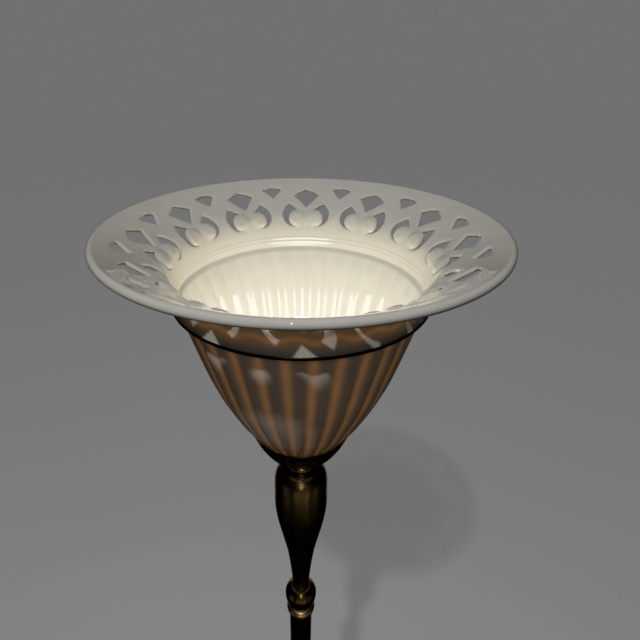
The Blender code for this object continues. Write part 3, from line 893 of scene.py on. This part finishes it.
def make_materials():
    return {
        "porcelain": porcelain(),
        "gilt": metal("worn_gilt", (0.50, 0.33, 0.12), (0.11, 0.06, 0.02), (0.16, 0.34), 0.01),
        "antique_brass": metal(
            "antique_brass", (0.27, 0.205, 0.09), (0.15, 0.095, 0.045), (0.23, 0.31), 0.03, 0.12
        ),
        "polished_brass": metal("polished_brass", (0.88, 0.68, 0.38), (0.76, 0.55, 0.30), (0.26, 0.36), 0.02),
        "raw_brass": metal("stamped_brass", (0.70, 0.56, 0.29), (0.52, 0.40, 0.20), (0.28, 0.42), 0.03),
        "zinc_steel": metal("zinc_steel", (0.62, 0.63, 0.66), (0.46, 0.47, 0.49), (0.30, 0.45), 0.04),
        "bulb_metal": metal("bulb_metal", (0.80, 0.80, 0.82), (0.64, 0.64, 0.66), (0.18, 0.30), 0.05),
        "cast_iron": matte("cast_iron", (0.10, 0.10, 0.105), (0.05, 0.05, 0.052), (0.55, 0.8), 900.0, 0.5),
        "rubber": matte("black_rubber", (0.035, 0.035, 0.035), (0.02, 0.02, 0.02), (0.7, 0.9), 700.0, 0.2),
        "phenolic": matte("phenolic", (0.055, 0.038, 0.03), (0.03, 0.02, 0.017), (0.28, 0.42), 300.0, 0.05),
        "card": matte("socket_card", (0.56, 0.46, 0.31), (0.46, 0.36, 0.23), (0.85, 0.95), 1200.0, 0.2),
        "bulb_glass": bulb_glass(),
        "felt": matte("green_felt", (0.075, 0.13, 0.085), (0.045, 0.085, 0.055), (0.9, 1.0), 1500.0, 0.8),
    }


# Which slot of the record each CAD node has.
SLOT_OF = {}


def slot_by_material():
    """Each CAD node's slot, from the material its mesh came with."""
    names = {entry["slot"] for entry in frame["record"]["materials"]}
    for node, obj in frame["nodes"].items():
        for socket in obj.material_slots:
            stem = socket.material.name.split(".")[0] if socket.material else ""
            if stem in names:
                SLOT_OF[node] = stem


def make_turned(paints):
    plain = {
        "shade_cup": 128,
        "column_vase": 128,
        "column_knob": 128,
        "column_ring": 128,
        "upper_tube": 96,
        "mid_ring_upper": 96,
        "mid_coupling": 96,
        "mid_ring_lower": 96,
        "lower_tube": 96,
        "base_ring": 96,
        "base_vase": 128,
        "base_weight": 96,
        "felt_pad": 128,
        "neck_band": 192,
        "socket_cap": 64,
        "screw_shell": 64,
        "seat_spacer": 48,
    }
    for node, steps in plain.items():
        refined(node, paints[SLOT_OF[node]], steps, 0.00025)
    cover = refined("base_cover", paints[SLOT_OF["base_cover"]], 192)
    bore_cover(cover)
    for node in ("bulb_glass", "bulb_base", "bulb_insulator", "bulb_contact"):
        refined(node, paints[SLOT_OF[node]], 96, 0.0001, "bulb")


def bore_cover(cover):
    """The hole for the cord's bushing, at the back of the skirt."""
    middle = middle_of("cord_bushing")
    radius = 4.7 * MM
    bm = bmesh.new()
    bmesh.ops.create_cone(bm, cap_ends=True, segments=48, radius1=radius, radius2=radius, depth=30.0 * MM)
    mesh = bpy.data.meshes.new("bushing_cutter")
    bm.to_mesh(mesh)
    bm.free()
    cutter = bpy.data.objects.new("bushing_cutter", mesh)
    bpy.context.scene.collection.objects.link(cutter)
    cutter.location = (0.0, middle.y, middle.z)
    cutter.rotation_euler = (math.radians(90.0), 0.0, 0.0)
    cut = cover.modifiers.new("bushing_hole", "BOOLEAN")
    cut.object = cutter
    cut.operation = "DIFFERENCE"
    bpy.context.view_layer.update()
    shape = bpy.data.meshes.new_from_object(cover.evaluated_get(bpy.context.evaluated_depsgraph_get()))
    cover.modifiers.clear()
    cover.data = shape
    bpy.data.objects.remove(cutter)


def make_switch(paints):
    axis = Vector((0.0, 0.0, middle_of("switch_shaft").z))
    front = Vector((0.0, -1.0, 0.0))

    def grip(angle, radius, height):
        if radius < 5.5 * MM or height > 36.5 * MM:
            return radius
        return radius * (0.955 + 0.045 * math.cos(24.0 * angle))

    refined("switch_shaft", paints["raw_brass"], 48, 0.0002, "switch", axis, front)
    refined("switch_knob", paints["phenolic"], 144, 0.0004, "switch", axis, front, grip)


def make_bushing(paints):
    axis = Vector((0.0, 0.0, middle_of("cord_bushing").z))
    refined("cord_bushing", paints["phenolic"], 64, 0.0003, "lamp", axis, Vector((0.0, 1.0, 0.0)))


def dress_frame(paints):
    """The CAD nodes that stay get the finished materials."""
    for node, obj in frame["nodes"].items():
        if node in SLOT_OF:
            for socket in obj.material_slots:
                socket.material = paints[SLOT_OF[node]]


# The camera, the floor and the lights.


def around(azimuth, elevation, distance, target):
    """A place seen from the target at this azimuth from the camera's side, and elevation."""
    turn = math.radians(HEADING + azimuth)
    lift = math.radians(elevation)
    away = Vector((math.sin(turn) * math.cos(lift), -math.cos(turn) * math.cos(lift), math.sin(lift)))
    return target + away * distance


def make_camera():
    data = bpy.data.cameras.new("camera")
    camera = bpy.data.objects.new("camera", data)
    bpy.context.scene.collection.objects.link(camera)
    data.sensor_width = 36.0
    data.lens = CAMERA_LENS
    data.shift_x = CAMERA_SHIFT
    data.clip_start = 0.02
    data.clip_end = 100.0
    turn = math.radians(HEADING)
    reach = CAMERA_REACH * RIM_RADIUS
    camera.location = (reach * math.sin(turn), -reach * math.cos(turn), RIM + CAMERA_RISE * RIM_RADIUS)
    tilt = Matrix.Rotation(math.radians(90.0 - CAMERA_TILT), 4, "X")
    roll = Matrix.Rotation(math.radians(CAMERA_ROLL), 4, "Z")
    camera.rotation_euler = (Matrix.Rotation(turn, 4, "Z") @ tilt @ roll).to_euler()
    bpy.context.scene.camera = camera


def make_floor():
    """A round floor that curves up into a domed backdrop on every side."""
    bm = bmesh.new()
    outline = [(0.0, 0.0), (FLOOR_EDGE / 2.0, 0.0), (FLOOR_EDGE, 0.0)]
    for step in range(1, 13):
        angle = math.radians(90.0 * step / 12.0)
        out = FLOOR_EDGE + FLOOR_CURVE * math.sin(angle)
        outline.append((out, FLOOR_CURVE - FLOOR_CURVE * math.cos(angle)))
    spin_outline(bm, [*outline, *DOME], False, 96, AXIS, UP)
    mesh = bpy.data.meshes.new("floor")
    bm.to_mesh(mesh)
    bm.free()
    mesh.shade_smooth()
    mesh.materials.append(floor_paint())
    floor = bpy.data.objects.new("floor", mesh)
    bpy.context.scene.collection.objects.link(floor)
    floor.visible_diffuse = False
    floor.visible_glossy = False
    floor.visible_shadow = False


def add_light(name, kind, place, target, watts, size, color=WHITE):
    data = bpy.data.lights.new(name, kind)
    data.energy = watts
    data.color = color
    if kind == "AREA":
        data.shape = "RECTANGLE"
        data.size, data.size_y = size
    else:
        data.shadow_soft_size = size
    light = bpy.data.objects.new(name, data)
    bpy.context.scene.collection.objects.link(light)
    light.location = place
    light.rotation_mode = "QUATERNION"
    light.rotation_quaternion = (target - place).to_track_quat("-Z", "Y")
    return light


def pieces_of(material):
    """The pieces whose material has this in its name."""
    group = bpy.data.collections.new(material)
    for obj in bpy.context.scene.objects:
        if obj.type == "MESH" and any(material in m.name for m in obj.data.materials if m):
            group.objects.link(obj)
    return group


def middle_of(node):
    low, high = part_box(node)
    return (low + high) / 2.0


def make_panels(crown):
    """Panels that show as soft reflections, in the brass or its polished rings alone where they say so.

    Each has its azimuth, elevation and distance from its target, its watts, size and colour.
    """
    vase = middle_of("column_vase")
    knob = middle_of("column_knob")
    middle = Vector((0.0, 0.0, 0.85))
    brass = pieces_of("brass")
    rings = pieces_of("polished_brass")
    for name, azimuth, elevation, distance, target, watts, size, color, only in (
        ("front_panel", 0.0, -27.0, 0.9, vase, 0.24, (0.8, 0.52), GOLD, brass),
        ("left_panel", -58.0, -27.0, 0.9, vase, 0.06, (0.4, 0.6), GOLD, brass),
        ("right_panel", 56.0, -27.0, 0.9, vase, 0.055, (0.4, 0.6), GOLD, brass),
        ("front_strip", 2.0, 26.0, 0.6, vase, 0.3, (0.02, 0.4), YELLOW, brass),
        ("ring_panel", -4.0, 45.0, 0.8, knob, 0.65, (0.3, 0.2), PALE_GOLD, rings),
        ("ring_spot", 0.0, -24.0, 0.8, knob, 0.1, (0.09, 0.09), PALE_GOLD, rings),
        ("low_panel", 180.0, -62.0, 0.5, knob, 0.05, (0.25, 0.2), GOLD, brass),
        ("overhead", 0.0, 90.0, 1.0, crown, 1.8, (1.6, 1.6), GOLD, brass),
        ("tall_front", 25.0, 0.0, 1.2, middle, 0.23, (0.3, 1.6), GOLD, brass),
        ("tall_left", -150.0, 0.0, 1.2, middle, 0.8, (0.35, 1.6), GOLD, brass),
        ("tall_right", 150.0, 0.0, 1.2, middle, 0.8, (0.35, 1.6), GOLD, brass),
        ("back_fill", 180.0, -15.0, 1.5, crown, 1.3, (1.0, 1.0), WARM, None),
    ):
        add_panel(name, around(azimuth, elevation, distance, target), target, watts, size, color, only)


def add_panel(name, place, target, watts, size, color, only=None):
    """A panel of light that the camera doesn't see."""
    panel = add_light(name, "AREA", place, target, watts, size, color)
    panel.visible_camera = False
    if only:
        panel.light_linking.receiver_collection = only


def make_lights():
    world = bpy.data.worlds.new("studio")
    bpy.context.scene.world = world
    world.use_nodes = True
    sky = world.node_tree.nodes["Background"]
    sky.inputs["Color"].default_value = (1.0, 0.95, 0.86, 1.0)
    sky.inputs["Strength"].default_value = WORLD_LIGHT
    world.cycles_visibility.glossy = False
    crown = Vector((0.0, 0.0, RIM - 0.03))
    key = add_light("key", "POINT", around(-17.5, 53.5, 1.5, crown), crown, KEY_WATTS, 0.03, COOL)
    key.visible_glossy = False
    add_panel("flash", around(-4.0, 31.0, 0.52, crown), crown, 0.05, (0.006, 0.1), WHITE)
    make_panels(crown)


def set_exposure_curve():
    """A soft shoulder: the brightest light is compressed instead of clipped."""
    view = bpy.context.scene.view_settings
    view.view_transform = "Standard"
    view.use_curve_mapping = True
    mapping = view.curve_mapping
    mapping.white_level = (TOP_LIGHT, TOP_LIGHT, TOP_LIGHT)
    curve = mapping.curves[3]
    for light, shown in SHOULDER:
        curve.points.new(light / TOP_LIGHT, shown)
    for point in list(curve.points)[-2:]:
        point.handle_type = "VECTOR"
    mapping.update()


def main():
    slot_by_material()
    make_camera()
    paints = make_materials()
    make_shade(paints["porcelain"])
    make_turned(paints)
    make_switch(paints)
    make_bushing(paints)
    dress_frame(paints)
    make_floor()
    make_lights()
    set_exposure_curve()


main()
